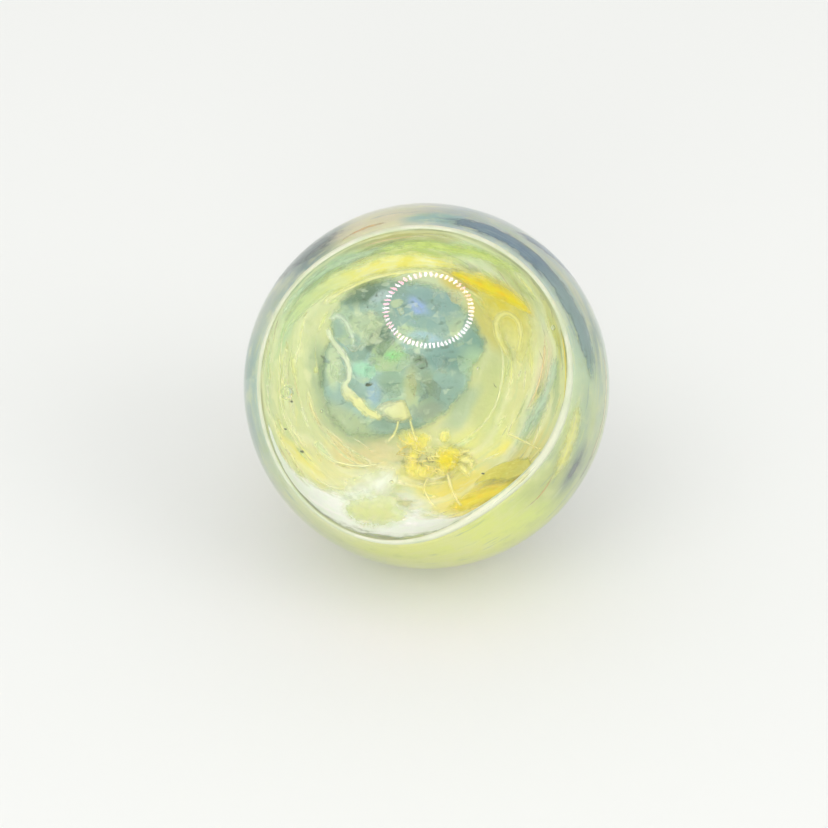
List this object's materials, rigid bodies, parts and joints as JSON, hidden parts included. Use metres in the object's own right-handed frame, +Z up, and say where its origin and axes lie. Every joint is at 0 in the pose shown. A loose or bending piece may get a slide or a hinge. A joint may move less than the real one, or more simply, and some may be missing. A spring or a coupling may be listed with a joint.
{
  "type": "glass marble",
  "caption": "Clear glass ball round a milky glass cup, whose dished front holds an opal core with folds, strands and pools of yellow, green and white glass.",
  "frame": {"origin": "centre of the ball", "axes": "+Z up as the ball lies in its seat; the dish faces -Y, leaning up, and a little to -X"},
  "size_m": [0.05, 0.05, 0.05],
  "materials": {
    "clear_casing": "clear, polished",
    "cup": "opaque coloured glass, polished",
    "rim_line": "opaque coloured glass, polished",
    "opal_core": "opal glass with a green and blue play of colour",
    "opal_flakes": "opal glass with a green and blue play of colour",
    "crest_fold": "opaque coloured glass, polished",
    "gold_wedge": "opaque coloured glass, polished",
    "inner_strand": "opaque coloured glass, polished",
    "pale_loop": "opaque coloured glass, polished",
    "yellow_knot": "opaque coloured glass, polished",
    "stringers": "opaque coloured glass, polished",
    "amber_leaf": "opaque coloured glass, polished",
    "amber_edge": "opaque coloured glass, polished",
    "white_pool": "opaque coloured glass, polished",
    "lime_drop": "opaque coloured glass, polished",
    "mint_streak": "opaque coloured glass, polished",
    "olive_band": "opaque coloured glass, polished",
    "slate_veil": "opaque coloured glass, polished"
  },
  "bodies": {
    "root": {"clear_casing": "clear_casing", "cup": "cup", "rim_line": "rim_line", "opal_core": "opal_core", "opal_flakes": "opal_flakes", "crest_fold": "crest_fold", "gold_wedge": "gold_wedge", "inner_strand": "inner_strand", "pale_loop": "pale_loop", "yellow_knot": "yellow_knot", "stringers": "stringers", "amber_leaf": "amber_leaf", "amber_edge": "amber_edge", "white_pool": "white_pool", "lime_drop": "lime_drop", "mint_streak": "mint_streak", "olive_band": "olive_band", "slate_veil": "slate_veil"}
  },
  "joints": []
}
